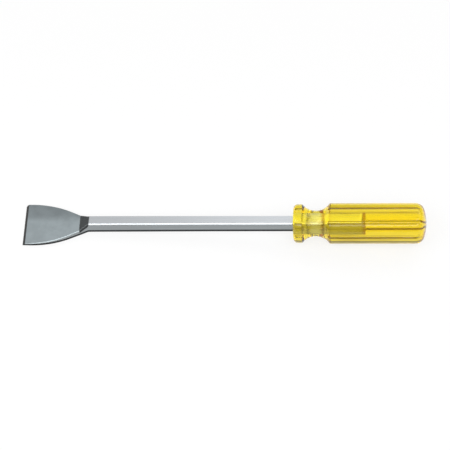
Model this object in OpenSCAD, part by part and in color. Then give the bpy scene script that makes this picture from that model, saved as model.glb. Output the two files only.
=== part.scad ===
// Gasket scraper: a forged steel blade with a square shank, and a turned, fluted plastic handle.
// It lies as it comes to rest, on its cutting edge and on the front collar of its handle.
// Millimetres. X runs along the tool, blade at -X and handle at +X. Z is up and the floor is at Z = 0.

/* [Overall] */
// Length from the cutting edge to the end of the handle
overall_length = 292; // [240:1:340]

/* [Blade] */
// Width of the cutting edge
blade_width = 38.1; // [24:0.1:60]
// Straight length of each side behind the cutting edge
side_land = 2.4; // [0.5:0.1:6]
// Radius of the curved sides
flare_radius = 66; // [50:1:90]
// Angle at which the sides run into the shank
flare_angle = 29; // [22:1:40]
// Thickness of the blade at the cutting edge, before its bevel is ground
tip_thickness = 1.6; // [1:0.1:2.4]
// Thickness of the blade at the foot of the ramp
root_thickness = 4.4; // [3:0.1:6]
// Height of the cutting edge above the level of the shank's underside
tip_rise = 2.05; // [0.5:0.05:3]
// Length of the bevel ground on the upper face
bevel_length = 1.8; // [0.8:0.1:3]
// Thickness left at the cutting edge
edge_thickness = 0.35; // [0.1:0.05:0.8]

/* [Shank] */
// Width across the flats of the square shank
shank_size = 7.94; // [6.5:0.02:10]
// Radius of the shank's long edges
shank_edge_radius = 0.3; // [0.1:0.05:1]
// Length of the ramp from the blade up to the shank
ramp_length = 6.3; // [3:0.1:10]
// Length of the tang inside the handle
tang_depth = 52.2; // [35:0.2:75]

/* [Handle] */
// Length of the handle
handle_length = 96; // [85:0.2:130]
// Diameter over the lands of the body
body_diameter = 29.4; // [26:0.2:36]
// Diameter over the lands of the front collar
collar_diameter = 28; // [25:0.2:34]
// Radius of the collar's front edge
collar_edge_radius = 3; // [0.5:0.1:4]
// Diameter at the bottom of the turned neck
neck_diameter = 18.6; // [15:0.2:22]
// Radius of the turned neck in profile
neck_radius = 12.2; // [9:0.2:14]
// Distance from the handle's front face to the middle of the neck
neck_position = 16; // [15:0.2:22]
// Radius of the domed end
dome_radius = 34; // [28:0.5:60]
// Radius that rounds the body into the dome
butt_edge_radius = 6.6; // [2:0.1:8]
// Number of flutes round the handle
flute_count = 8; // [6:1:12]
// Radius of each flute
flute_radius = 1.2; // [0.8:0.1:3]
// Depth of each flute below the lands of the body
flute_depth = 1.2; // [0.8:0.05:1.6]
// Angle from the floor to the flute nearest to it, about the handle's axis
flute_turn = 5; // [0:1:22]

/* [Fits] */
// Play between the tang and its socket, on each side
socket_play = 0; // [0:0.01:0.1]

/* [Hidden] */
$fn = 128;
// How far a cutting shape reaches past what it cuts
overshoot = 1;

// Levels of the steel, measured up from the shank's axis
shank_half = shank_size / 2;
tip_under = tip_rise - shank_half;
tip_edge_top = tip_under + edge_thickness;

// Outline of the blade: the land, then an arc through the flare angle, then a straight run to the shank
flare_drop = blade_width / 2 - shank_half;
flare_turn = min(flare_angle, acos(max(1 - flare_drop / flare_radius, -1)));
arc_end = side_land + flare_radius * sin(flare_turn);
arc_end_half = blade_width / 2 - flare_radius * (1 - cos(flare_turn));
flare_end = arc_end + max(arc_end_half - shank_half, 0) / tan(flare_turn);

// Side view of the blade
ramp_start = flare_end - ramp_length;
function under_level(x) = tip_under - tip_rise * x / flare_end;
ramp_foot = under_level(ramp_start) + root_thickness;
function top_level(x) = tip_under + tip_thickness
    + (ramp_foot - tip_under - tip_thickness) * x / ramp_start;

// Places along the tool
handle_front = overall_length - handle_length;
tang_end = handle_front + tang_depth;

// Radii of the handle, and the dome's edge, tangent to the body and to the dome
body_r = body_diameter / 2;
collar_r = collar_diameter / 2;
dome_centre = handle_length - dome_radius;
butt_edge_r = body_r - butt_edge_radius;
butt_edge_x = dome_centre + sqrt(pow(dome_radius - butt_edge_radius, 2) - pow(butt_edge_r, 2));
flute_centre = body_r - flute_depth + flute_radius;

// Rest: the collar stands on its land, or on a flute's near edge if that flute reaches the lowest line
flute_edge_cos = min(1, (pow(collar_r, 2) + pow(flute_centre, 2) - pow(flute_radius, 2))
    / (2 * collar_r * flute_centre));
rest_cos = cos(max(0, acos(flute_edge_cos) - flute_turn));
rest_reach = handle_front + collar_edge_radius;
rest_height = (collar_r - collar_edge_radius) * rest_cos + tip_under;
rest_pitch = atan2(rest_height, rest_reach)
    + asin(collar_edge_radius * rest_cos / norm([rest_reach, rest_height]));
rest_lift = -tip_under * cos(rest_pitch);
rest_left = -tip_edge_top * sin(rest_pitch);
rest_right = dome_centre_x() * cos(rest_pitch) + dome_radius;

// Place of the dome's centre along the tool
function dome_centre_x() = handle_front + dome_centre;

// Turns the tool from its own axis to the way it lies, centred over the floor's origin
module as_it_lies() {
    translate([-(rest_left + rest_right) / 2, 0, rest_lift])
        rotate([0, -rest_pitch, 0])
            children();
}

// Section of the square bar with round edges, grown on each side by play
module bar_section(play) {
    size = shank_size + 2 * play;
    r = shank_edge_radius + play;
    flat = size - 2 * r;
    square([size, flat], center = true);
    square([flat, size], center = true);
    for (sy = [-1, 1], sz = [-1, 1])
        translate([sy * flat / 2, sz * flat / 2]) circle(r);
}

// A bar of that section along X from one place to another
module bar(from, to, play) {
    translate([from, 0, 0])
        rotate([90, 0, 90])
            linear_extrude(to - from) bar_section(play);
}

// Outline of blade, shank and tang, seen from above
module steel_plan() {
    translate([0, -blade_width / 2]) square([side_land, blade_width]);
    intersection() {
        translate([side_land, -blade_width / 2]) square([arc_end - side_land, blade_width]);
        translate([side_land, blade_width / 2 - flare_radius]) circle(flare_radius);
        translate([side_land, flare_radius - blade_width / 2]) circle(flare_radius);
    }
    polygon([
        [arc_end, -arc_end_half], [flare_end, -shank_half],
        [flare_end, shank_half], [arc_end, arc_end_half]
    ]);
    translate([flare_end, -shank_half]) square([tang_end - flare_end, shank_size]);
}

// Outline of blade, shank and tang, seen from the side
module steel_side() {
    polygon([
        [0, tip_under], [flare_end, -shank_half], [tang_end, -shank_half],
        [tang_end, shank_half], [flare_end, shank_half], [ramp_start, ramp_foot],
        [bevel_length, top_level(bevel_length)], [0, tip_edge_top]
    ]);
}

// What rounding takes off the long edges of the shank and tang
module shank_edges() {
    translate([flare_end, 0, 0])
        rotate([90, 0, 90])
            linear_extrude(tang_end - flare_end + overshoot)
                difference() {
                    square(shank_size + 2 * overshoot, center = true);
                    bar_section(0);
                }
}

// Half profile of the turned handle: radius along X, distance from the front face along Y
module handle_profile() {
    difference() {
        union() {
            translate([0, collar_edge_radius])
                square([collar_r, neck_position - collar_edge_radius]);
            square([collar_r - collar_edge_radius, neck_position]);
            translate([0, neck_position]) square([body_r, butt_edge_x - neck_position]);
            intersection() {
                union() {
                    translate([collar_r - collar_edge_radius, collar_edge_radius])
                        circle(collar_edge_radius);
                    translate([butt_edge_r, butt_edge_x]) circle(butt_edge_radius);
                    dome_sector();
                }
                square([body_r, handle_length]);
            }
        }
        translate([neck_diameter / 2 + neck_radius, neck_position]) circle(neck_radius);
    }
}

// The part of the dome's circle between the axis and the round edge of the butt
module dome_sector() {
    reach = dome_radius / (butt_edge_x - dome_centre);
    intersection() {
        translate([0, dome_centre]) circle(dome_radius);
        polygon([
            [0, dome_centre], [0, dome_centre + 2 * dome_radius],
            [2 * reach * butt_edge_r, dome_centre + 2 * dome_radius]
        ]);
    }
}

// The blade, shank and tang, forged in one piece
module blade_and_shank() {
    color("lightslategray") as_it_lies() difference() {
        intersection() {
            translate([0, 0, -shank_size]) linear_extrude(2 * shank_size) steel_plan();
            rotate([90, 0, 0])
                linear_extrude(2 * blade_width, center = true) steel_side();
        }
        shank_edges();
    }
}

// The handle, turned from fluted bar, with a square socket for the tang
module handle() {
    color("gold") as_it_lies() difference() {
        translate([handle_front, 0, 0]) rotate([0, 90, 0]) difference() {
            rotate_extrude() handle_profile();
            for (i = [0 : flute_count - 1])
                rotate([0, 0, i * 360 / flute_count - flute_turn])
                    translate([flute_centre, 0, -overshoot])
                        cylinder(r = flute_radius, h = handle_length + 2 * overshoot);
        }
        bar(handle_front - overshoot, tang_end + socket_play, socket_play);
    }
}

blade_and_shank();
handle();
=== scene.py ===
"""Dresses a gasket scraper: a forged steel blade and shank in a see-through yellow handle.

Shapes are worked out in millimetres in the tool's own frame. There X runs along the shank's axis from
the cutting edge to the butt, Y runs across the blade and Z is up from its face. Placement lays the tool
down the way it rests, and turns millimetres into the metres of the shared frame.
"""

from __future__ import annotations

import logging
import math
from dataclasses import dataclass
from enum import Enum

import bpy
import numpy as np
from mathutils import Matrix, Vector

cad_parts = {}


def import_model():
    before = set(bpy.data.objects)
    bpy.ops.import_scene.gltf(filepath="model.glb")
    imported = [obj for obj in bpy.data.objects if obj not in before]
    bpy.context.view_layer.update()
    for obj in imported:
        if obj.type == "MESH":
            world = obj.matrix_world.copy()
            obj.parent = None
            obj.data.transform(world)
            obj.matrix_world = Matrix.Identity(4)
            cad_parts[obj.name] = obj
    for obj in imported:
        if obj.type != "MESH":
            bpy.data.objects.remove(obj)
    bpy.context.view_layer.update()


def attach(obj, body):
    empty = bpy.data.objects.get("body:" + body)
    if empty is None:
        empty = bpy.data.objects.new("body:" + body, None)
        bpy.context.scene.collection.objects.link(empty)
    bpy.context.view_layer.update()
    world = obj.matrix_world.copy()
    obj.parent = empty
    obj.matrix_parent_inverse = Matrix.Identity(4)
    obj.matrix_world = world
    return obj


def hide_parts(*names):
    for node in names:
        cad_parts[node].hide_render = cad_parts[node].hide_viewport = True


LOG = logging.getLogger("scraper")
BODY = "root"
METRES = 0.001
QUARTER = math.pi / 2.0
WHITE = (1.0, 1.0, 1.0)

Range = tuple[float, float]
Triple = tuple[float, float, float]
Colour = Triple
Socket = bpy.types.NodeSocket

# A Mix node's colour sockets by number, because its sockets share their names
MIX_FIRST, MIX_SECOND, MIX_RESULT = 6, 7, 2
MAP_INPUTS = ("Value", "From Min", "From Max", "To Min", "To Max")
# Values between which most of a noise pattern lies
NOISE_SPREAD = (0.35, 0.65)
# Power of a round corner, in |u|^p + |v|^p = 1
CIRCLE = 2.0

# Rings along the steel
WORN_RINGS = 12
BEVEL_RINGS = 7
FACE_RINGS = 48
FOOT_RINGS = 13
RAMP_RINGS = 16
TOP_RINGS = 20
SHANK_RINGS = 40
FRONT_RINGS = 5
TANG_RINGS = 12

# Points round each ring of the steel; a wall's are shares of its run to the painted shade band and of the
# band
CORNER_POINTS = 15
ACROSS_POINTS = 24
WALL_SHARES = np.linspace(0.05, 1.0, 10)
FACET_SHARES = np.linspace(0.1, 0.95, 8)

# Rings along the handle, and points round each of them
EDGE_RINGS = 14
NECK_RINGS = 110
BODY_RINGS = 16
BUTT_RINGS = 18
FLUTE_POINTS = 46
LAND_POINTS = 8


class End(Enum):
    """How the last ring of a swept surface is closed."""

    FLAT = "one flat face"
    POLE = "a fan to the middle of the ring"


class Mark(Enum):
    """A value that a mesh carries at each point, and that its finish reads."""

    # Sideways faces, which take a darker tone of the same steel as painted shade
    SHADED_SIDE = "side"
    # Painted shade along the lower edges and down the ramp's sides
    PAINTED_SHADE_BAND = "lower"
    UNDER = "under"
    FLUTE = "flute"


def smooth_min(a: np.ndarray, b: np.ndarray, blend: float) -> np.ndarray:
    """The lesser of two arrays, with the crossing rounded over a band.

    Formula: with h = clamp(1/2 + (b - a) / (2 blend)), the result is b (1 - h) + a h - blend h (1 - h).

    Args:
        a: First values.
        b: Second values, of a shape that broadcasts with the first.
        blend: Difference over which the two are blended.

    Returns:
        The blended minimum.
    """
    h = np.clip(0.5 + 0.5 * (b - a) / blend, 0.0, 1.0)
    return b * (1.0 - h) + a * h - blend * h * (1.0 - h)


def soft_ramp(distance: np.ndarray, reach: float) -> np.ndarray:
    """A ramp that is 0 before the origin and rises one for one after it, with a round corner.

    Formula: (d + reach)^2 / (4 reach) within reach of the origin, and max(d, 0) outside it.

    Args:
        distance: Signed distance past the corner.
        reach: Half length of the round corner.

    Returns:
        The height of the ramp at each distance.
    """
    near = np.clip(distance, -reach, reach)
    return (near + reach) ** 2 / (4.0 * reach) + np.maximum(distance - reach, 0.0)


def soft_polyline(x: np.ndarray, knots: list[Triple]) -> np.ndarray:
    """A line through given points whose corners are rounded by parabolas.

    Formula: the first stretch's line, plus at each inner knot the change of slope times a soft ramp.

    Args:
        x: Where to read the line.
        knots: Place, height and half length of the round corner for each point, in order.

    Returns:
        The height of the line at each place.
    """
    places, heights, reaches = np.array(knots).T
    slopes = np.diff(heights) / np.diff(places)
    line = heights[0] + slopes[0] * (x - places[0])
    for place, reach, turn in zip(places[1:-1], reaches[1:-1], np.diff(slopes)):
        line = line + turn * soft_ramp(x - place, reach)
    return line


def eased(start: float, stop: float, count: int) -> np.ndarray:
    """Places from start to stop that crowd towards both ends, by half a cosine wave."""
    return start + (stop - start) * (1.0 - np.cos(np.linspace(0.0, math.pi, count))) / 2.0


def share_of(value: np.ndarray, limits: Range) -> np.ndarray:
    """How far each value has gone from the first limit to the second, held between 0 and 1."""
    return np.clip((value - limits[0]) / (limits[1] - limits[0]), 0.0, 1.0)


def about(place: float, half: float, count: int) -> np.ndarray:
    """Even places from half a width before a place to half a width after it."""
    return np.linspace(place - half, place + half, count)


def opaque(colour: object) -> object:
    """A colour with full alpha, or the socket that gives it, as it is."""
    return (*colour, 1.0) if isinstance(colour, tuple) else colour


def swept_mesh(name: str, rings: np.ndarray, first: End, last: End) -> bpy.types.Object:
    """Makes a closed, smooth-shaded mesh from a stack of rings.

    Ring i joins ring i + 1 by quads, the last point of each ring joins its first, and both ends are closed.

    Args:
        name: Name of the new object.
        rings: Points as rings by points by 3, in metres, counter-clockwise seen from the far end.
        first: How the first ring is closed.
        last: How the last ring is closed.

    Returns:
        The new object, linked to the scene.
    """
    count, around = rings.shape[:2]
    index = np.arange(count * around).reshape(count, around)
    following = np.roll(index, -1, axis=1)
    quads = np.stack([index[:-1], following[:-1], following[1:], index[1:]], axis=-1).reshape(-1, 4)
    points = rings.reshape(-1, 3)
    faces = quads.tolist()
    for end, ring, middle in ((first, index[0][::-1], rings[0]), (last, index[-1], rings[-1])):
        if end is End.FLAT:
            faces.append(ring.tolist())
            continue
        pole = np.full(around, len(points))
        faces += np.stack([ring, np.roll(ring, -1), pole], axis=-1).tolist()
        points = np.vstack([points, middle.mean(axis=0)])
    mesh = bpy.data.meshes.new(name)
    mesh.from_pydata(points.tolist(), [], faces)
    mesh.polygons.foreach_set("use_smooth", np.ones(len(mesh.polygons), dtype=bool))
    mesh.update()
    piece = bpy.data.objects.new(name, mesh)
    bpy.context.scene.collection.objects.link(piece)
    return piece


def write_marks(piece: bpy.types.Object, marks: dict[Mark, np.ndarray]) -> None:
    """Stores marks on a swept mesh, with 0 at the poles that close its ends.

    Args:
        piece: The swept piece.
        marks: Each mark's value at each point of the rings.
    """
    for mark, values in marks.items():
        layer = piece.data.attributes.new(mark.value, "FLOAT", "POINT")
        padded = np.zeros(len(piece.data.vertices), dtype=np.float32)
        padded[: values.size] = values.ravel()
        layer.data.foreach_set("value", padded)


@dataclass(frozen=True)
class Placement:
    """How the tool lies: its rise towards the butt in radians, then moves along X and Z in millimetres."""

    pitch: float
    along: float
    up: float

    def to_row(self, points: np.ndarray) -> np.ndarray:
        """Turns tool points into row points.

        Args:
            points: Points in the tool's frame, in millimetres, with the coordinates on the last axis.

        Returns:
            The same points in the row's frame, in metres.
        """
        cos, sin = math.cos(self.pitch), math.sin(self.pitch)
        x, y, z = points[..., 0], points[..., 1], points[..., 2]
        row = np.stack([x * cos - z * sin + self.along, y, x * sin + z * cos + self.up], axis=-1)
        return row * METRES

    def turned_back(self, x: float) -> float:
        """A place along the tool, in metres on the X of row coordinates turned back by the pitch."""
        return (x + self.along * math.cos(self.pitch) + self.up * math.sin(self.pitch)) * METRES


@dataclass(frozen=True)
class Noise:
    """A noise pattern: its waves for each metre along each axis, its octaves and the share of each."""

    scale: Triple
    detail: float
    rough: float


@dataclass(frozen=True)
class Tone:
    """A colour where it is lightest, and the share of it that is lost where a pattern is darkest."""

    colour: Colour
    depth: float

    def dimmed(self, share: float) -> Tone:
        """The same tone at a share of its brightness."""
        return Tone(tuple(share * part for part in self.colour), self.depth)


class Nodes:
    """A material's or world's node tree, with short calls to fill it."""

    def __init__(self, owner: bpy.types.Material | bpy.types.World) -> None:
        """Empties the owner's tree.

        Args:
            owner: What the nodes belong to.
        """
        owner.use_nodes = True
        self.tree = owner.node_tree
        self.tree.nodes.clear()

    def add(self, kind: str, inputs: dict | None = None, **settings: object) -> bpy.types.Node:
        """Adds a node.

        Args:
            kind: The node's type name.
            inputs: Socket names or numbers, each with a constant or with the socket that feeds it.
            settings: Attributes of the node itself.

        Returns:
            The new node.
        """
        node = self.tree.nodes.new(kind)
        for key, value in settings.items():
            setattr(node, key, value)
        for key, value in (inputs or {}).items():
            if isinstance(value, bpy.types.NodeSocket):
                self.tree.links.new(value, node.inputs[key])
            else:
                node.inputs[key].default_value = value
        return node

    def mapped(self, vector: Socket, **change: Triple) -> Socket:
        """Coordinates after a turn or a scaling."""
        return self.add("ShaderNodeMapping", {"Vector": vector, **change}).outputs[0]

    def mark(self, mark: Mark) -> Socket:
        """The value that the mesh carries for a mark."""
        return self.add("ShaderNodeAttribute", attribute_name=mark.value).outputs["Fac"]

    def noise(self, vector: Socket, pattern: Noise) -> Socket:
        """Reads a noise pattern.

        Args:
            vector: Coordinates that it reads.
            pattern: Its scale and fineness.

        Returns:
            The pattern's value.
        """
        scaled = self.mapped(vector, Scale=pattern.scale)
        inputs = {"Vector": scaled, "Scale": 1.0, "Detail": pattern.detail, "Roughness": pattern.rough}
        return self.add("ShaderNodeTexNoise", inputs).outputs["Fac"]

    def remap(self, value: Socket, limits: Range, start: float, stop: float) -> Socket:
        """A value moved smoothly from its limits to the range from start to stop, and held at its ends."""
        inputs = dict(zip(MAP_INPUTS, (value, *limits, start, stop)))
        return self.add("ShaderNodeMapRange", inputs, interpolation_type="SMOOTHSTEP").outputs["Result"]

    def past(self, value: Socket, place: float, half: float) -> Socket:
        """A smooth step from 0 to 1 that reaches half a width to each side of a place."""
        return self.remap(value, (place - half, place + half), 0.0, 1.0)

    def math(self, operation: str, first: object, second: object) -> Socket:
        """Two values joined by a sum, a product or the like."""
        return self.add("ShaderNodeMath", {0: first, 1: second}, operation=operation).outputs[0]

    def mix(self, share: Socket, first: object, second: object) -> Socket:
        """Two colours mixed by a share that runs from 0 for the first to 1 for the second."""
        inputs = {"Factor": share, MIX_FIRST: opaque(first), MIX_SECOND: opaque(second)}
        return self.add("ShaderNodeMix", inputs, data_type="RGBA").outputs[MIX_RESULT]

    def mottled(self, pattern: Socket, tone: Tone) -> Socket:
        """A tone's colour, which is darkest where the pattern is low."""
        dark = tone.dimmed(1.0 - tone.depth)
        return self.mix(self.remap(pattern, NOISE_SPREAD, 0.0, 1.0), dark.colour, tone.colour)


@dataclass(frozen=True)
class Zones:
    """Where the steel's finish changes, in metres along the tool, and the tool's rise in radians."""

    bevel_end: float
    ramp_start: float
    ramp_end: float
    tang_start: float
    pitch: float


@dataclass(frozen=True)
class SteelFinish:
    """Satin steel: a drawn shank, a finely blasted blade face, a ground bevel and a dark forged ramp."""

    # Tones, where lower is a painted shade along the lower edges and down the ramp's sides
    shank: Tone = Tone((0.58, 0.605, 0.63), 0.09)
    # Sides of the shank and blade: the same steel as their tops, darker as painted shade
    wall: Tone = Tone((0.34, 0.365, 0.375), 0.12)
    face: Tone = Tone((0.315, 0.358, 0.375), 0.12)
    ramp: Tone = Tone((0.195, 0.21, 0.215), 0.35)
    bevel: Tone = Tone((0.13, 0.13, 0.127), 0.3)
    lower: Tone = Tone((0.045, 0.048, 0.05), 0.4)
    # Tang tones, painted light: far lighter than the steel, for light reaching it through the plastic; walls
    # less so
    tang: Tone = Tone((0.95, 0.95, 0.93), 0.05)
    tang_wall_painted_light: Tone = Tone((0.6, 0.58, 0.5), 0.06)
    # Painted shade: brightness left at the shank's blade end and at the face's far side, and where the face
    # dims
    blade_end_shade: float = 0.75
    far_side_shade: float = 0.72
    far_shade_fade: Range = (0.001, 0.009)
    # Half widths of crisp and soft changes of tone, in metres
    sharp: float = 0.00015
    soft: float = 0.0003
    # Drawn lines of the shank, grain of the blade and clouding of its face
    lines: Noise = Noise((12.0, 900.0, 900.0), 4.0, 0.6)
    grain: Noise = Noise((2600.0, 2600.0, 2600.0), 3.0, 0.7)
    cloud: Noise = Noise((110.0, 110.0, 110.0), 5.0, 0.6)
    # Roughness by the texture's value, and the texture's relief in metres
    texture_range: Range = (0.3, 0.7)
    rough: Range = (0.26, 0.32)
    blade_rough: float = 0.06
    bump: float = 0.08
    bump_depth: float = 0.0001

    def material(self, zones: Zones) -> bpy.types.Material:
        """Builds the node material.

        Args:
            zones: Where the finish changes.

        Returns:
            The material.
        """
        made = bpy.data.materials.new("satin_steel")
        nodes = Nodes(made)
        place = nodes.add("ShaderNodeTexCoord").outputs["Object"]
        turned = nodes.mapped(place, Rotation=(0.0, zones.pitch, 0.0))
        parts = nodes.add("ShaderNodeSeparateXYZ", {0: turned}).outputs
        along = parts["X"]
        lines = nodes.noise(turned, self.lines)
        grain = nodes.noise(place, self.grain)
        cloud = nodes.noise(place, self.cloud)
        past_bevel = nodes.past(along, zones.bevel_end, self.sharp)
        past_foot = nodes.past(along, zones.ramp_start, self.soft)
        past_top = nodes.past(along, zones.ramp_end, self.soft)
        past_front = nodes.past(along, zones.tang_start, self.sharp)

        # Painted shade: the blade's face darkens towards its far side
        far = nodes.remap(parts["Y"], self.far_shade_fade, 0.0, 1.0)
        shaded_far_face = self.face.dimmed(self.far_side_shade)
        face = nodes.mix(far, nodes.mottled(cloud, self.face), nodes.mottled(cloud, shaded_far_face))
        blade = nodes.mix(past_bevel, nodes.mottled(grain, self.bevel), face)
        blade = nodes.mix(past_foot, blade, nodes.mottled(grain, self.ramp))
        blade = nodes.mix(nodes.mark(Mark.UNDER), blade, face)
        # Painted shade: the shank darkens from the handle towards the blade
        lit_towards_handle = nodes.remap(along, (zones.ramp_end, zones.tang_start), 0.0, 1.0)
        shaded_shank = self.shank.dimmed(self.blade_end_shade)
        shank = nodes.mix(lit_towards_handle, nodes.mottled(lines, shaded_shank), nodes.mottled(lines, self.shank))
        # The tang is painted lighter than the steel, a painted light, with painted shade on its walls
        bar = nodes.mix(past_front, shank, nodes.mottled(lines, self.tang))
        wall = nodes.mix(past_front, nodes.mottled(lines, self.wall), nodes.mottled(lines, self.tang_wall_painted_light))
        # Sideways faces take the wall tones, a painted shade
        upper = nodes.mix(nodes.mark(Mark.SHADED_SIDE), nodes.mix(past_top, blade, bar), wall)
        # Painted shade: a dark band along the lower edges and down the ramp's sides
        colour = nodes.mix(nodes.mark(Mark.PAINTED_SHADE_BAND), upper, nodes.mottled(grain, self.lower))

        drawn = nodes.math("MULTIPLY", lines, past_top)
        blasted = nodes.math("MULTIPLY", grain, nodes.math("SUBTRACT", 1.0, past_top))
        texture = nodes.math("ADD", drawn, blasted)
        extra = nodes.remap(past_top, (0.0, 1.0), self.blade_rough, 0.0)
        rough = nodes.math("ADD", nodes.remap(texture, self.texture_range, *self.rough), extra)
        relief = {"Height": texture, "Strength": self.bump, "Distance": self.bump_depth}
        bump = nodes.add("ShaderNodeBump", relief).outputs[0]
        surface = {"Base Color": colour, "Metallic": 1.0, "Roughness": rough, "Normal": bump}
        shader = nodes.add("ShaderNodeBsdfPrincipled", surface)
        nodes.add("ShaderNodeOutputMaterial", {"Surface": shader.outputs[0]})
        return made


@dataclass(frozen=True)
class PlasticFinish:
    """Polished see-through plastic that takes away blue, and so looks yellow."""

    # Refractive index, and absorption for each metre
    refraction: float = 1.475
    tint: Colour = (0.993, 0.933, 0.08)
    density: float = 160.0
    # What the flutes' steep walls let through, a painted shade for the dark lines of refraction there, and
    # their roughness
    flute: Colour = (0.2, 0.12, 0.03)
    flute_rough: float = 0.2
    # Faint lines along the handle, what they let through, and values at which they are full and gone
    lines: Noise = Noise((6.0, 420.0, 420.0), 3.0, 0.6)
    streak: Colour = (0.33, 0.24, 0.09)
    streak_range: Range = (0.3, 0.48)
    # Slow waves of the polished surface, and their relief in metres
    wave: Noise = Noise((20.0, 260.0, 260.0), 2.0, 0.5)
    bump: float = 0.03
    bump_depth: float = 0.0002
    # Fine scuffs, and roughness by their value
    scuff: Noise = Noise((900.0, 900.0, 900.0), 3.0, 0.6)
    scuff_range: Range = (0.45, 0.75)
    rough: Range = (0.01, 0.05)

    def material(self, pitch: float) -> bpy.types.Material:
        """Builds the node material.

        Args:
            pitch: Rise of the tool's axis, in radians.

        Returns:
            The material.
        """
        made = bpy.data.materials.new("yellow_plastic")
        nodes = Nodes(made)
        place = nodes.add("ShaderNodeTexCoord").outputs["Object"]
        turned = nodes.mapped(place, Rotation=(0.0, pitch, 0.0))
        flute = nodes.mark(Mark.FLUTE)
        streaked = nodes.remap(nodes.noise(turned, self.lines), self.streak_range, 1.0, 0.0)
        scuffed = nodes.remap(nodes.noise(place, self.scuff), self.scuff_range, *self.rough)
        wave = nodes.noise(turned, self.wave)
        relief = {"Height": wave, "Strength": self.bump, "Distance": self.bump_depth}
        surface = {
            # Steep flute walls let through a dark colour: painted shade
            "Base Color": nodes.mix(flute, nodes.mix(streaked, WHITE, self.streak), self.flute),
            "Roughness": nodes.math("ADD", scuffed, nodes.math("MULTIPLY", flute, self.flute_rough)),
            "IOR": self.refraction,
            "Transmission Weight": 1.0,
            "Normal": nodes.add("ShaderNodeBump", relief).outputs[0],
        }
        shader = nodes.add("ShaderNodeBsdfPrincipled", surface)
        absorption = {"Color": opaque(self.tint), "Density": self.density}
        volume = nodes.add("ShaderNodeVolumeAbsorption", absorption)
        nodes.add("ShaderNodeOutputMaterial", {"Surface": shader.outputs[0], "Volume": volume.outputs[0]})
        return made


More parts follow.
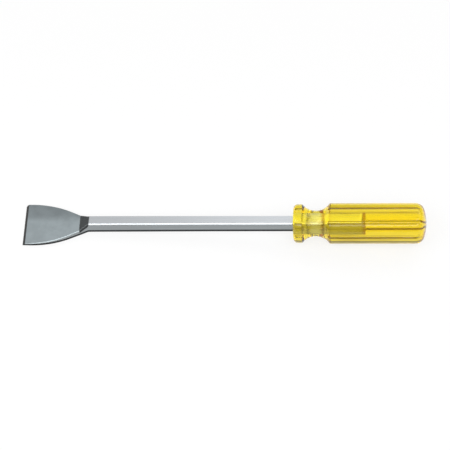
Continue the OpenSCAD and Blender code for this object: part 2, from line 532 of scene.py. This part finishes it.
@dataclass(frozen=True)
class BladeAndShank:
    """The steel forging: blade, ramp, square shank and the tang inside the handle. Millimetres."""

    # Outline from above. A corner is half the length of a round corner
    blade_width: float = 38.1
    side_land: float = 2.4
    worn_corner: float = 1.4
    flare_radius: float = 66.0
    flare_angle: float = math.radians(29.0)
    flare_corner: float = 0.6
    # Outline from the side
    tip_thickness: float = 1.6
    root_thickness: float = 4.4
    tip_rise: float = 2.05
    under_corner: float = 1.0
    bevel_length: float = 1.8
    bevel_corner: float = 0.1
    edge_thickness: float = 0.35
    shank_size: float = 7.94
    ramp_length: float = 6.3
    ramp_overrun: float = 0.7
    ramp_corner: float = 0.4
    tang_start: float = 196.0
    tang_end: float = 248.2
    # Chamfer of the near upper edge from the tip to the tang, and radii of the other edges
    cutting_edge: float = 0.12
    face_edge: float = 0.6
    face_place: float = 12.0
    blade_edge: float = 0.9
    shank_edge: float = 1.1
    tang_edge: float = 0.3
    front_span: float = 1.0
    edge_limit: float = 0.4
    chamfer: float = 1.15
    far_edge: float = 0.2
    lower_edge: float = 0.15
    # How much fuller the near side stands, and where it grows and wanes
    fullness: float = 0.5
    fuller_from: Range = (4.0, 22.0)
    fuller_to: Triple = (-6.0, 4.0, -60.0)
    fuller_left: float = 0.6
    # Rise of the face's middle, below 0 for a hollow, and how far from the ends it is full
    crown: float = -0.6
    crown_from: float = 6.0
    crown_to: float = 12.0
    # Painted shade: a dark band along the lower edges and down the ramp's sides, and the facing at which a
    # wall is shaded
    shade_band_height: float = 2.0
    shade_band_share: float = 0.85
    shade_band_crisp: float = 8.0
    shade_band_stop: float = 0.5
    ramp_shade_depth: float = 2.4
    ramp_shade_fade: Range = (0.5, 0.7)
    ramp_shade_crisp: float = 4.0
    shaded_side_range: Range = (0.75, 0.95)
    # Reach of the close rings at the bevel's top and the ramp's ends, and the gap to the next ring
    bevel_span: float = 0.2
    corner_span: float = 0.6
    corner_gap: float = 0.1
    finish: SteelFinish = SteelFinish()

    @property
    def half(self) -> float:
        """Half the shank's width across its flats."""
        return self.shank_size / 2.0

    @property
    def tip_under(self) -> float:
        """Level of the underside at the cutting edge, from the shank's axis."""
        return self.tip_rise - self.half

    @property
    def arc_end(self) -> float:
        """Place where the curved side turns into a straight run."""
        return self.side_land + self.flare_radius * math.sin(self.flare_angle)

    @property
    def arc_end_half(self) -> float:
        """Half width of the blade there."""
        return self.blade_width / 2.0 - self.flare_radius * (1.0 - math.cos(self.flare_angle))

    @property
    def flare_end(self) -> float:
        """Place where the sides meet the shank."""
        return self.arc_end + (self.arc_end_half - self.half) / math.tan(self.flare_angle)

    @property
    def ramp_start(self) -> float:
        """Place of the ramp's foot."""
        return self.flare_end - self.ramp_length

    @property
    def ramp_end(self) -> float:
        """Place of the ramp's top, a little past the end of the flare."""
        return self.flare_end + self.ramp_overrun

    def half_width(self, x: np.ndarray) -> np.ndarray:
        """Half width of the steel along the tool.

        Formula: straight over the land, then an arc, then a straight run that meets the shank with a
        round corner.

        Args:
            x: Places along the tool.

        Returns:
            Half width at each place.
        """
        turn = np.clip(x - self.side_land, 0.0, self.arc_end - self.side_land)
        curved = self.blade_width / 2.0 - self.flare_radius + np.sqrt(self.flare_radius**2 - turn**2)
        straight = self.half + soft_ramp(self.flare_end - x, self.flare_corner) * math.tan(self.flare_angle)
        return np.where(x < self.arc_end, curved, straight)

    def worn(self, x: np.ndarray) -> np.ndarray:
        """How far wear has rounded the far corner back from the side: a quarter circle, by place."""
        left = np.clip(self.worn_corner - x, 0.0, self.worn_corner)
        return self.worn_corner - np.sqrt(self.worn_corner**2 - left**2)

    def under(self, x: np.ndarray) -> np.ndarray:
        """Level of the underside: it rises in a straight line from the shank to the cutting edge.

        Args:
            x: Places along the tool.

        Returns:
            Level at each place.
        """
        knots = [
            (0.0, self.tip_under, 0.0),
            (self.flare_end, -self.half, self.under_corner),
            (self.tang_end, -self.half, 0.0),
        ]
        return soft_polyline(x, knots)

    def top(self, x: np.ndarray) -> np.ndarray:
        """Level of the upper side: bevel, blade face, ramp and shank, joined by round corners.

        Args:
            x: Places along the tool.

        Returns:
            Level at each place, from the shank's axis.
        """
        foot = self.tip_under - self.tip_rise * self.ramp_start / self.flare_end + self.root_thickness
        tip_top = self.tip_under + self.tip_thickness
        bevel_top = tip_top + (foot - tip_top) * self.bevel_length / self.ramp_start
        knots = [
            (0.0, self.tip_under + self.edge_thickness, 0.0),
            (self.bevel_length, bevel_top, self.bevel_corner),
            (self.ramp_start, foot, self.ramp_corner),
            (self.ramp_end, self.half, self.ramp_corner),
            (self.tang_end, self.half, 0.0),
        ]
        return soft_polyline(x, knots)

    def thickness(self, x: np.ndarray) -> np.ndarray:
        """Thickness of the steel, from its underside to its upper side."""
        return self.top(x) - self.under(x)

    def near_edge(self, x: np.ndarray) -> np.ndarray:
        """Size of the near upper edge's chamfer: straight between named places, and less on thin steel.

        Args:
            x: Places along the tool.

        Returns:
            Size at each place.
        """
        sizes = {
            0.0: self.cutting_edge,
            self.face_place: self.face_edge,
            self.ramp_start: self.blade_edge,
            self.flare_end: self.shank_edge,
            self.tang_start - self.front_span: self.shank_edge,
            self.tang_start: self.tang_edge,
        }
        size = np.interp(x, list(sizes), list(sizes.values()))
        return np.minimum(size, self.edge_limit * self.thickness(x))

    def near_swell(self, x: np.ndarray) -> np.ndarray:
        """How much fuller the near side stands than the far one: most at the flare, none at the ends.

        Args:
            x: Places along the tool.

        Returns:
            Extra half width at each place.
        """
        ends = np.add((self.flare_end, self.flare_end, self.tang_start), self.fuller_to)
        shares = [0.0, 1.0, 1.0, self.fuller_left, 0.0]
        return self.fullness * np.interp(x, [*self.fuller_from, *ends], shares)

    def swell(self, x: np.ndarray) -> np.ndarray:
        """How far the middle of the blade's face stands above its edges.

        Formula: the crown, times a fade at both ends, times the square of the width's share of the widest.

        Args:
            x: Places along the tool.

        Returns:
            Height at each place.
        """
        places = [self.bevel_length, self.crown_from, self.ramp_start - self.crown_to, self.ramp_start]
        fade = np.interp(x, places, [0.0, 1.0, 1.0, 0.0])
        return self.crown * fade * (self.half_width(x) / self.half_width(np.zeros(1))) ** 2

    def facet(self, x: np.ndarray) -> np.ndarray:
        """Height of the band of painted shade along the lower edges, limited by the thickness."""
        return np.minimum(self.shade_band_height, self.shade_band_share * self.thickness(x))

    def places(self) -> np.ndarray:
        """Places of the rings along the tool, crowded where the shape turns.

        Returns:
            The places, in order.
        """
        close, clear = self.corner_span, self.corner_span + self.corner_gap
        before_front = self.tang_start - self.front_span
        stretches = [
            self.worn_corner * (1.0 - np.cos(np.linspace(0.0, QUARTER, WORN_RINGS))),
            about(self.bevel_length, self.bevel_span, BEVEL_RINGS),
            eased(self.side_land, self.ramp_start - close, FACE_RINGS),
            about(self.ramp_start, close, FOOT_RINGS),
            np.linspace(self.ramp_start + clear, self.flare_end - clear, RAMP_RINGS),
            np.linspace(self.flare_end - close, self.ramp_end + close, TOP_RINGS),
            eased(self.ramp_end + clear, before_front - self.corner_gap, SHANK_RINGS),
            np.linspace(before_front, self.tang_start, FRONT_RINGS),
            np.linspace(self.tang_start + self.front_span, self.tang_end, TANG_RINGS),
        ]
        return np.unique(np.concatenate(stretches))

    def corners(self, x: np.ndarray) -> list[tuple[np.ndarray, np.ndarray, np.ndarray]]:
        """The four corners of each ring, counter-clockwise from the far upper one.

        Formula: a quarter of the curve |u|^p + |v|^p = 1 about a centre one radius in from both sides. The
        power p is 2, a circle, and less on the near upper edge, a chamfer with round shoulders.

        Args:
            x: Places along the tool, as a column.

        Returns:
            For each corner, its points' Y, their Z and how far each of them faces sideways.
        """
        top, under, half = self.top(x), self.under(x), self.half_width(x)
        far, near = half - self.worn(x), -half - self.near_swell(x)
        upper, lower = self.near_edge(x), np.full(x.shape, self.lower_edge)
        shapes = [
            (far, top, 1, 1, np.minimum(upper, self.far_edge), CIRCLE),
            (near, top, -1, 1, upper, self.chamfer),
            (near, under, -1, -1, lower, CIRCLE),
            (far, under, 1, -1, lower, CIRCLE),
        ]
        arcs = []
        for number, (edge, level, out, up, radius, power) in enumerate(shapes):
            angle = eased(0.0, QUARTER, CORNER_POINTS)[None, :] + number * QUARTER
            cos, sin = np.cos(angle), np.sin(angle)
            reach = radius / (np.abs(cos) ** power + np.abs(sin) ** power) ** (1.0 / power)
            y = edge - out * radius + reach * cos
            z = level - up * radius + reach * sin
            arcs.append((y, z, np.broadcast_to(np.abs(cos), y.shape)))
        return arcs

    def rings(self) -> tuple[np.ndarray, dict[Mark, np.ndarray]]:
        """The surface as a stack of rings: a rectangle with eased corners, carried along the tool.

        Each corner is followed by a side that runs straight to the next one. The upper side is raised by
        the swell's parabola, 4 s (1 - s) at the share s of its run.

        Returns:
            Points as rings by points by 3, in millimetres, and each mark's value at each point.
        """
        x = self.places()[:, None]
        across = np.broadcast_to(eased(0.0, 1.0, ACROSS_POINTS + 2)[None, 1:-1], (len(x), ACROSS_POINTS))
        bend = 1.0 - self.facet(x) / self.thickness(x)
        downward = np.hstack([bend * WALL_SHARES, bend + (1.0 - bend) * FACET_SHARES])
        runs = [across, downward, across, 1.0 - downward[:, ::-1]]
        arcs = self.corners(x)
        y, z, facing = [], [], []
        for number, ((corner_y, corner_z, corner_facing), run) in enumerate(zip(arcs, runs)):
            next_y, next_z, _ = arcs[(number + 1) % len(arcs)]
            rise = 4.0 * run * (1.0 - run) * self.swell(x) if number == 0 else 0.0
            y += [corner_y, corner_y[:, -1:] + (next_y[:, :1] - corner_y[:, -1:]) * run]
            z += [corner_z, corner_z[:, -1:] + (next_z[:, :1] - corner_z[:, -1:]) * run + rise]
            facing += [corner_facing, np.full(run.shape, float(number % 2))]
        y, z = np.hstack(y), np.hstack(z)
        points = np.stack([np.broadcast_to(x, y.shape), y, z], axis=-1)
        return points, self.marks(x, z, np.hstack(facing))

    def marks(self, x: np.ndarray, z: np.ndarray, facing: np.ndarray) -> dict[Mark, np.ndarray]:
        """Where the finish changes round the steel: the sides' painted shade, the painted shade band low
        down, the underside.

        Args:
            x: Places of the rings along the tool, as a column.
            z: Level of each point.
            facing: How far each point faces sideways, from 0 to 1.

        Returns:
            Each mark's value at each point.
        """
        height, depth = z - self.under(x), self.top(x) - z
        side = share_of(facing, self.shaded_side_range)
        # Painted shade along the lower edges outside the handle, and down the ramp's sides
        facet = self.facet(x)
        low = np.clip(self.shade_band_crisp * (facet - height) / facet, 0.0, 1.0)
        outside = np.interp(x, [self.tang_start - self.shade_band_stop, self.tang_start], [1.0, 0.0])
        foot, head = self.ramp_shade_fade
        on_ramp = [self.ramp_start, self.ramp_start + foot, self.ramp_end - head, self.ramp_end]
        drop = self.ramp_shade_depth * np.interp(x, on_ramp, [0.0, 1.0, 1.0, 0.0])
        scale = np.clip(self.ramp_shade_crisp * (drop - depth), 0.0, 1.0)
        scale = scale * np.clip(self.ramp_shade_crisp * facing, 0.0, 1.0)
        return {
            Mark.SHADED_SIDE: side,
            Mark.PAINTED_SHADE_BAND: np.maximum(low * side * outside, scale),
            Mark.UNDER: np.where(height < self.lower_edge, 1.0, 0.0),
        }

    def build(self, placement: Placement) -> bpy.types.Object:
        """Makes the piece and sets it in place of its CAD node.

        Args:
            placement: How the tool lies.

        Returns:
            The piece.
        """
        points, marks = self.rings()
        piece = swept_mesh("satin_blade_and_shank", placement.to_row(points), End.FLAT, End.FLAT)
        write_marks(piece, marks)
        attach(piece, BODY)
        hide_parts("blade_and_shank")
        return piece

    def dress(self, piece: bpy.types.Object, placement: Placement) -> None:
        """Gives the piece its finish.

        Args:
            piece: The piece.
            placement: How the tool lies.
        """
        zones = Zones(
            bevel_end=placement.turned_back(self.bevel_length),
            ramp_start=placement.turned_back(self.ramp_start),
            ramp_end=placement.turned_back(self.ramp_end),
            tang_start=placement.turned_back(self.tang_start),
            pitch=placement.pitch,
        )
        piece.data.materials.append(self.finish.material(zones))


@dataclass(frozen=True)
class Handle:
    """The turned, fluted handle with its square socket. Millimetres, from its front face."""

    # Turned profile, over the lands
    front: float = 196.0
    length: float = 96.0
    body_radius: float = 14.7
    collar_radius: float = 14.0
    collar_edge: float = 3.0
    neck_bottom: float = 9.3
    neck_radius: float = 12.2
    neck_position: float = 16.0
    dome_radius: float = 34.0
    butt_edge: float = 6.6
    # Flutes, the angle with close points, and shares across and depths of cut at which walls begin
    flute_count: int = 8
    flute_radius: float = 1.2
    flute_depth: float = 1.2
    flute_turn: float = math.radians(-5.0)
    flute_blend: float = 0.12
    flute_span: float = math.radians(6.0)
    steep_range: Range = (0.6, 0.8)
    wall_cut: Range = (0.0, 0.2)
    # Rounding of the neck's corners, and the gap from there to the body's first ring
    turned_blend: float = 0.4
    body_gap: float = 0.8
    # Socket, whose walls grip the steel by a hair, and the front face's rings round it
    socket_depth: float = 52.2
    socket_half: float = 3.97
    socket_edge: float = 0.5
    socket_grip: float = 0.02
    rim: Range = (0.1, 1.0)
    finish: PlasticFinish = PlasticFinish()

    @property
    def dome_centre(self) -> float:
        """Place of the dome's centre."""
        return self.length - self.dome_radius

    @property
    def flute_centre(self) -> float:
        """Distance of a flute's own axis from the handle's."""
        return self.body_radius - self.flute_depth + self.flute_radius

    @property
    def flute_pitch(self) -> float:
        """Angle from one flute to the next."""
        return 2.0 * math.pi / self.flute_count

    def turned_radius(self, x: np.ndarray) -> np.ndarray:
        """Radius left by turning: the collar or the body, with the neck's round groove taken out.

        Formula: the blended lesser of the stock and of the neck's circle.

        Args:
            x: Places behind the front face.

        Returns:
            Radius at each place.
        """
        stock = np.where(x < self.neck_position, self.collar_radius, self.body_radius)
        offset = np.clip(x - self.neck_position, -self.neck_radius, self.neck_radius)
        groove = self.neck_bottom + self.neck_radius - np.sqrt(self.neck_radius**2 - offset**2)
        return smooth_min(stock, groove, self.turned_blend)

    def profile(self) -> tuple[np.ndarray, np.ndarray]:
        """The turned profile from the edge of the front face to the middle of the dome.

        It is a quarter circle at the collar, the turned stretch, a round edge and the dome's circle.

        Returns:
            Places behind the front face, and the radius at each.
        """
        edge = np.linspace(0.0, QUARTER, EDGE_RINGS)
        inner = self.body_radius - self.butt_edge
        edge_x = self.dome_centre + math.sqrt((self.dome_radius - self.butt_edge) ** 2 - inner**2)
        neck_end = self.neck_position + self.neck_radius
        neck = np.linspace(self.collar_edge, neck_end, NECK_RINGS)[1:]
        body = np.linspace(neck_end + self.body_gap, edge_x, BODY_RINGS)
        stretch = np.concatenate([neck, body])
        lean = math.atan2(edge_x - self.dome_centre, inner)
        butt = np.linspace(0.0, lean, BUTT_RINGS)[1:]
        dome = np.linspace(QUARTER - lean, 0.0, BUTT_RINGS)[1:-1]
        x = [
            self.collar_edge * (1.0 - np.cos(edge)),
            stretch,
            edge_x + self.butt_edge * np.sin(butt),
            self.dome_centre + self.dome_radius * np.cos(dome),
        ]
        radius = [
            self.collar_radius - self.collar_edge + self.collar_edge * np.sin(edge),
            self.turned_radius(stretch),
            inner + self.butt_edge * np.cos(butt),
            self.dome_radius * np.sin(dome),
        ]
        return np.concatenate(x), np.concatenate(radius)

    def directions(self) -> np.ndarray:
        """Directions of the points round each ring, crowded over every flute and sparse on the lands.

        Returns:
            The directions, counter-clockwise from the first flute, in radians.
        """
        fine = np.linspace(-self.flute_span, self.flute_span, FLUTE_POINTS)
        coarse = np.linspace(self.flute_span, self.flute_pitch - self.flute_span, LAND_POINTS + 2)[1:-1]
        middles = self.flute_pitch * np.arange(self.flute_count) + self.flute_turn
        return (middles[:, None] + np.concatenate([fine, coarse])[None, :]).ravel()

    def flute_offset(self, angle: np.ndarray) -> np.ndarray:
        """Angle of each direction from the middle of the flute that is nearest to it."""
        half = self.flute_pitch / 2.0
        return (angle - self.flute_turn + half) % self.flute_pitch - half

    def flute_floor(self, angle: np.ndarray) -> np.ndarray:
        """Radius of the fluted bar in each direction, before turning.

        Formula: the near crossing of a ray with the nearest flute's circle, which is
        c cos a - sqrt(r^2 - c^2 sin^2 a), and a large radius where the ray misses it.

        Args:
            angle: Directions about the handle's axis.

        Returns:
            Radius in each direction.
        """
        off = self.flute_offset(angle)
        across = self.flute_centre * np.sin(off)
        depth = np.sqrt(np.maximum(self.flute_radius**2 - across**2, 0.0))
        floor = self.flute_centre * np.cos(off) - depth
        return np.where(np.abs(across) < self.flute_radius, floor, 2.0 * self.body_radius)

    def flute_walls(self, angle: np.ndarray, cut: np.ndarray) -> np.ndarray:
        """How far points lie on a flute's steep wall: a share for the place across times one for the cut."""
        steep = np.abs(self.flute_centre * np.sin(self.flute_offset(angle))) / self.flute_radius
        return share_of(cut, self.wall_cut) * share_of(steep, self.steep_range)

    def socket_wall(self, angle: np.ndarray) -> np.ndarray:
        """Radius of the square socket in each direction: flat sides and round corners.

        Args:
            angle: Directions about the handle's axis.

        Returns:
            Radius in each direction.
        """
        half, edge = self.socket_half - self.socket_grip, self.socket_edge - self.socket_grip
        off = angle % QUARTER - QUARTER / 2.0
        flat = half / np.cos(QUARTER / 2.0 - np.abs(off))
        middle = math.sqrt(2.0) * (half - edge)
        corner = middle * np.cos(off) + np.sqrt(np.maximum(edge**2 - (middle * np.sin(off)) ** 2, 0.0))
        turn = QUARTER / 2.0 - math.atan2(half - edge, half)
        return np.where(np.abs(off) < turn, corner, flat)

    def rings(self) -> tuple[np.ndarray, dict[Mark, np.ndarray]]:
        """The surface as a stack of rings: socket, front face, then the turned profile cut by the flutes.

        Formula: in direction a at place x the radius is the blended lesser of the turned radius and the
        flutes.

        Returns:
            Points as rings by points by 3, in millimetres, and each mark's value at each point.
        """
        angle = self.directions()
        x, turned = self.profile()
        outer = smooth_min(turned[:, None], self.flute_floor(angle)[None, :], self.flute_blend)
        socket = self.socket_wall(angle)[None, :]
        radius = np.vstack([socket, socket, socket + np.array(self.rim)[:, None], outer])
        bottom = self.socket_depth - self.socket_grip
        place = np.concatenate([[bottom, 0.0, 0.0, 0.0], x])[:, None] + self.front
        along = np.broadcast_to(place, radius.shape)
        points = np.stack([along, radius * np.cos(angle), radius * np.sin(angle)], axis=-1)
        walls = np.zeros(radius.shape)
        walls[-len(x) :] = self.flute_walls(angle, turned[:, None] - outer)
        return points, {Mark.FLUTE: walls}

    def build(self, placement: Placement) -> bpy.types.Object:
        """Makes the piece and sets it in place of its CAD node.

        Args:
            placement: How the tool lies.

        Returns:
            The piece.
        """
        points, marks = self.rings()
        piece = swept_mesh("clear_yellow_handle", placement.to_row(points), End.POLE, End.POLE)
        write_marks(piece, marks)
        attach(piece, BODY)
        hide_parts("handle")
        return piece

    def dress(self, piece: bpy.types.Object, placement: Placement) -> None:
        """Gives the piece its finish.

        Args:
            piece: The piece.
            placement: How the tool lies.
        """
        piece.data.materials.append(self.finish.material(placement.pitch))


@dataclass(frozen=True)
class SoftBox:
    """A rectangular lamp that faces the tool: its place and size in metres, and its face's brightness."""

    name: str
    middle: Triple
    size: Range
    radiance: float

    def build(self) -> None:
        """Hangs the lamp. Its power is pi times its area times its radiance."""
        data = bpy.data.lights.new(self.name, "AREA")
        data.shape = "RECTANGLE"
        data.size, data.size_y = self.size
        data.energy = math.pi * self.size[0] * self.size[1] * self.radiance
        lamp = bpy.data.objects.new(self.name, data)
        lamp.location = self.middle
        lamp.rotation_mode = "QUATERNION"
        lamp.rotation_quaternion = (-Vector(self.middle)).to_track_quat("-Z", "Y")
        bpy.context.scene.collection.objects.link(lamp)


@dataclass(frozen=True)
class Studio:
    """A white floor, a dim room with a bright rear wall, soft boxes and the camera. Metres and degrees."""

    # Camera, whose aim is moved to the right of the picture and down it
    azimuth: float = 2.994
    elevation: float = 48.25
    distance: float = 3.0
    lens: float = 331.7
    sight: float = 100.0
    aim: Triple = (0.0, 0.0, 0.015)
    aim_right: float = 0.00012
    aim_down: float = 0.00381
    # Floor, and the share of plain white that the camera, metal and glass see in it
    floor_reach: float = 4.0
    floor_colour: Colour = (0.94, 0.94, 0.94)
    floor_glow: float = 0.78
    # Room, and what its rear wall adds below and above its bend
    dim: float = 0.28
    wall: float = 1.15
    wall_head: float = 0.56
    # Parts of a unit direction between which the wall bends, begins and grows to the right
    wall_bend: Range = (0.74, 0.84)
    wall_foot: Range = (0.35, 0.55)
    wall_back: Range = (0.0, 0.4)
    wall_left: Range = (-0.66, -0.5)
    wall_tilt: Range = (-0.5, 0.5)
    wall_growth: Range = (0.85, 1.15)
    boxes: tuple[SoftBox, ...] = (
        SoftBox("key_box", (0.0, -2.25, 2.41), (3.2, 1.75), 2.9),
        SoftBox("left_box", (-0.85, -0.63, 1.01), (0.9, 1.1), 1.8),
        SoftBox("right_box", (0.85, -0.63, 1.01), (0.9, 1.1), 1.8),
    )

    def camera(self) -> None:
        """Sets the camera at the photograph's viewing angle."""
        turn, rise = math.radians(self.azimuth), math.radians(self.elevation)
        back = Vector((math.sin(turn) * math.cos(rise), -math.cos(turn) * math.cos(rise), math.sin(rise)))
        right = Vector((math.cos(turn), math.sin(turn), 0.0))
        aim = Vector(self.aim) + right * self.aim_right - back.cross(right) * self.aim_down
        data = bpy.data.cameras.new("camera")
        data.lens = self.lens
        data.clip_end = self.sight
        eye = bpy.data.objects.new("camera", data)
        eye.location = aim + back * self.distance
        eye.rotation_mode = "QUATERNION"
        eye.rotation_quaternion = (-back).to_track_quat("-Z", "Y")
        bpy.context.scene.collection.objects.link(eye)
        bpy.context.scene.camera = eye

    def floor(self) -> None:
        """Lays the white floor, which glows a little towards the camera and in metal and glass."""
        corners = np.array([[-1.0, -1.0, 0.0], [1.0, -1.0, 0.0], [1.0, 1.0, 0.0], [-1.0, 1.0, 0.0]])
        mesh = bpy.data.meshes.new("floor")
        mesh.from_pydata((self.floor_reach * corners).tolist(), [], [[0, 1, 2, 3]])
        sheet = bpy.data.objects.new("floor", mesh)
        bpy.context.scene.collection.objects.link(sheet)
        made = bpy.data.materials.new("pale_floor")
        nodes = Nodes(made)
        path = nodes.add("ShaderNodeLightPath").outputs
        seen = nodes.math("MAXIMUM", path["Is Camera Ray"], path["Is Glossy Ray"])
        seen = nodes.math("MAXIMUM", seen, path["Is Transmission Ray"])
        share = nodes.math("MULTIPLY", seen, self.floor_glow)
        lit = nodes.add("ShaderNodeBsdfDiffuse", {"Color": opaque(self.floor_colour)})
        glow = nodes.add("ShaderNodeEmission", {"Color": opaque(WHITE), "Strength": 1.0})
        both = nodes.add("ShaderNodeMixShader", {0: share, 1: lit.outputs[0], 2: glow.outputs[0]})
        nodes.add("ShaderNodeOutputMaterial", {"Surface": both.outputs[0]})
        sheet.data.materials.append(made)

    def room(self) -> None:
        """Lights the tool from a dim room with a bright rear wall.

        The wall begins above the floor, behind the tool and from the left. It is dimmer above its bend, and
        it grows a little to the right.
        """
        world = bpy.data.worlds.new("room")
        bpy.context.scene.world = world
        nodes = Nodes(world)
        direction = nodes.add("ShaderNodeTexCoord").outputs["Generated"]
        parts = nodes.add("ShaderNodeSeparateXYZ", {0: direction}).outputs
        level = nodes.remap(parts["Z"], self.wall_bend, self.wall, self.wall_head)
        for part, limits in (("X", self.wall_left), ("Y", self.wall_back), ("Z", self.wall_foot)):
            level = nodes.math("MULTIPLY", level, nodes.remap(parts[part], limits, 0.0, 1.0))
        level = nodes.math("MULTIPLY", level, nodes.remap(parts["X"], self.wall_tilt, *self.wall_growth))
        strength = nodes.math("ADD", level, self.dim)
        shader = nodes.add("ShaderNodeBackground", {"Color": opaque(WHITE), "Strength": strength})
        nodes.add("ShaderNodeOutputWorld", {"Surface": shader.outputs[0]})

    def build(self) -> None:
        """Sets up the floor, the lights and the camera."""
        self.floor()
        self.room()
        for box in self.boxes:
            box.build()
        self.camera()
        bpy.context.scene.view_settings.view_transform = "Standard"


def lying(steel: BladeAndShank, handle: Handle) -> Placement:
    """Works out how the tool rests, from its sizes.

    The cutting edge and the front edge of the collar both touch the floor. The collar stands on its land,
    or on a flute's near edge if that flute reaches the lowest line. Its round front edge rolls.

    Args:
        steel: The steel's sizes.
        handle: The handle's sizes.

    Returns:
        The placement.
    """
    centre, collar = handle.flute_centre, handle.collar_radius
    edge_cos = (collar**2 + centre**2 - handle.flute_radius**2) / (2.0 * collar * centre)
    edge = math.acos(min(1.0, edge_cos))
    lean = math.cos(max(0.0, edge - abs(handle.flute_turn)))
    reach = handle.front + handle.collar_edge
    height = (collar - handle.collar_edge) * lean + steel.tip_under
    pitch = math.atan2(height, reach) + math.asin(handle.collar_edge * lean / math.hypot(reach, height))
    left = -(steel.tip_under + steel.edge_thickness) * math.sin(pitch)
    right = (handle.front + handle.dome_centre) * math.cos(pitch) + handle.dome_radius
    return Placement(pitch, -(left + right) / 2.0, -steel.tip_under * math.cos(pitch))


def main() -> None:
    """Builds the pieces and the studio in order."""
    logging.basicConfig(level=logging.INFO, format="%(name)s: %(message)s")
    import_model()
    steel, handle = BladeAndShank(), Handle()
    placement = lying(steel, handle)
    LOG.info("pitch %.3f degrees", math.degrees(placement.pitch))
    blade = steel.build(placement)
    steel.dress(blade, placement)
    LOG.info("%s: %d faces", blade.name, len(blade.data.polygons))
    grip = handle.build(placement)
    handle.dress(grip, placement)
    LOG.info("%s: %d faces", grip.name, len(grip.data.polygons))
    Studio().build()
    LOG.info("studio ready")


if __name__ == "__main__":
    main()
